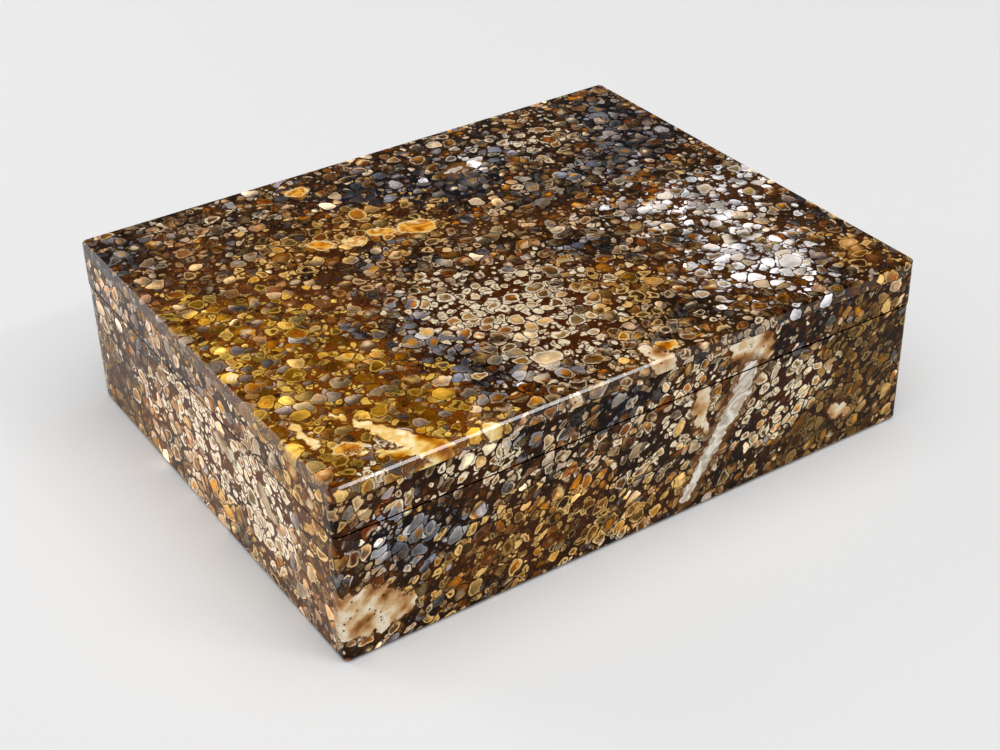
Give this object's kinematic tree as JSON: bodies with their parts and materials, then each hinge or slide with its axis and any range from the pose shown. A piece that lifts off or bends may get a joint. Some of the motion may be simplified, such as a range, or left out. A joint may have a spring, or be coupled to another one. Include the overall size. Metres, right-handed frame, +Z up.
{
  "type": "stone box",
  "caption": "Low rectangular box clad in polished fossil stone slabs, with a hinged lid, a suede-lined tray and a flat pad underneath.",
  "frame": {"origin": "middle of the underside of the standing pad, below the middle of the stone base", "axes": "+X along the long side, to the right of someone facing the front, +Y to the hinged back, +Z up"},
  "size_m": [0.2204, 0.1802, 0.0635],
  "materials": {
    "fossil_stone": "highly polished fossil stone, rounded cream and amber cells in dark brown",
    "walnut": "dark walnut, sanded and waxed",
    "suede": "brown suede with a short nap",
    "brass": "polished brass"
  },
  "bodies": {
    "base": {"base_front_slab": "fossil_stone", "base_back_slab": "fossil_stone", "base_left_slab": "fossil_stone", "base_right_slab": "fossil_stone", "base_front_rail": "walnut", "base_back_rail": "walnut", "base_left_rail": "walnut", "base_right_rail": "walnut", "base_bottom_panel": "walnut", "base_front_lining": "suede", "base_back_lining": "suede", "base_left_lining": "suede", "base_right_lining": "suede", "base_floor_pad": "suede", "base_standing_pad": "suede", "hinge_left_base_leaf": "brass", "hinge_left_base_screw_1": "brass", "hinge_left_base_screw_2": "brass", "hinge_left_base_screw_3": "brass", "hinge_right_base_leaf": "brass", "hinge_right_base_screw_1": "brass", "hinge_right_base_screw_2": "brass", "hinge_right_base_screw_3": "brass", "hinge_left_pin": "brass", "hinge_right_pin": "brass"},
    "lid": {"lid_top_slab": "fossil_stone", "lid_front_slab": "fossil_stone", "lid_back_slab": "fossil_stone", "lid_left_slab": "fossil_stone", "lid_right_slab": "fossil_stone", "lid_panel": "walnut", "lid_front_rail": "walnut", "lid_back_rail": "walnut", "lid_left_rail": "walnut", "lid_right_rail": "walnut", "lid_front_lining": "suede", "lid_back_lining": "suede", "lid_left_lining": "suede", "lid_right_lining": "suede", "lid_pad": "suede", "hinge_left_lid_leaf": "brass", "hinge_left_lid_screw_1": "brass", "hinge_left_lid_screw_2": "brass", "hinge_left_lid_screw_3": "brass", "hinge_right_lid_leaf": "brass", "hinge_right_lid_screw_1": "brass", "hinge_right_lid_screw_2": "brass", "hinge_right_lid_screw_3": "brass"}
  },
  "joints": [
    {"name": "lid_hinge", "type": "hinge", "parent": "base", "child": "lid", "pos_m": [0, 0.0899, 0.04655], "axis": [-1, 0, 0], "range_deg": [0, 95]}
  ]
}
